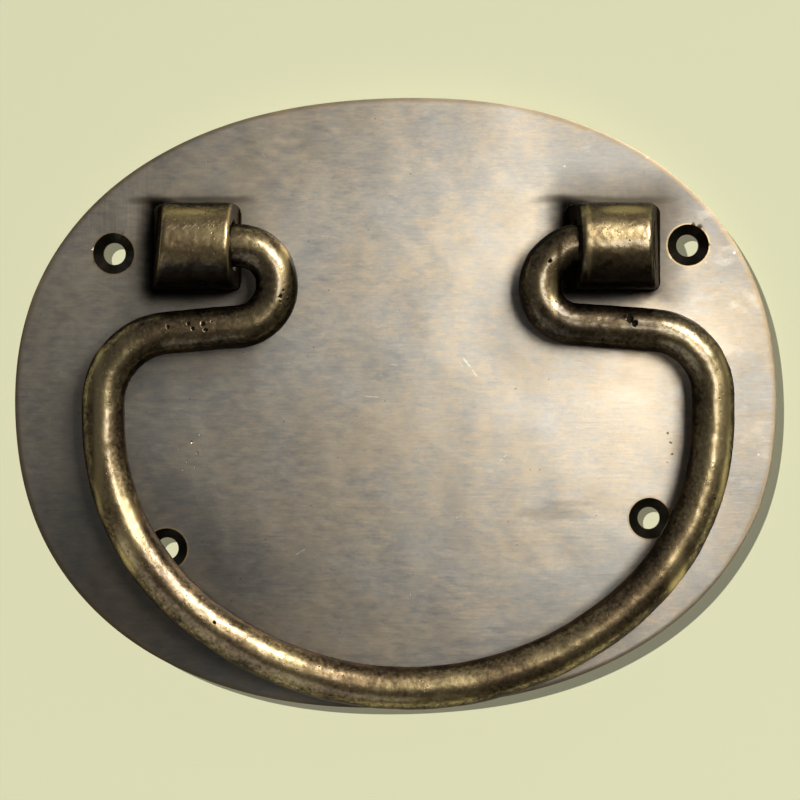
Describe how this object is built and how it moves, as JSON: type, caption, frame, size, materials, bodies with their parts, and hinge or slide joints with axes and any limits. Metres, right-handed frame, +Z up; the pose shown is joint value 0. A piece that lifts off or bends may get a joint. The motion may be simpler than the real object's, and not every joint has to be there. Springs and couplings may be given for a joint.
{
  "type": "swing handle door knocker",
  "caption": "Door knocker: a round-rod bail swings in two lugs screwed to an oval back plate with countersunk mounting holes.",
  "frame": {"origin": "middle of the oval back plate, on its back face, where it meets the door", "axes": "+Z up the door, +X to the right as a caller sees it, -Y out from the door towards the caller"},
  "size_m": [0.155, 0.0212, 0.1242],
  "materials": {
    "plate_bronze": "satin patinated brass, brushed, mottled grey and tan",
    "lug_brass": "dark antique brass, worn golden on the front",
    "bail_brass": "dark antique brass, worn golden where hands touch it, with casting pits",
    "screw_brass": "plain turned brass, dulled"
  },
  "bodies": {
    "plate": {"back_plate": "plate_bronze", "left_lug": "lug_brass", "right_lug": "lug_brass", "left_lug_screw_upper": "screw_brass", "left_lug_screw_lower": "screw_brass", "right_lug_screw_upper": "screw_brass", "right_lug_screw_lower": "screw_brass"},
    "bail": {"bail": "bail_brass"}
  },
  "joints": [
    {"name": "bail_swing", "type": "hinge", "parent": "plate", "child": "bail", "pos_m": [0, -0.0125, 0.0315], "axis": [-1, 0, 0], "range_deg": [-3, 185]}
  ]
}
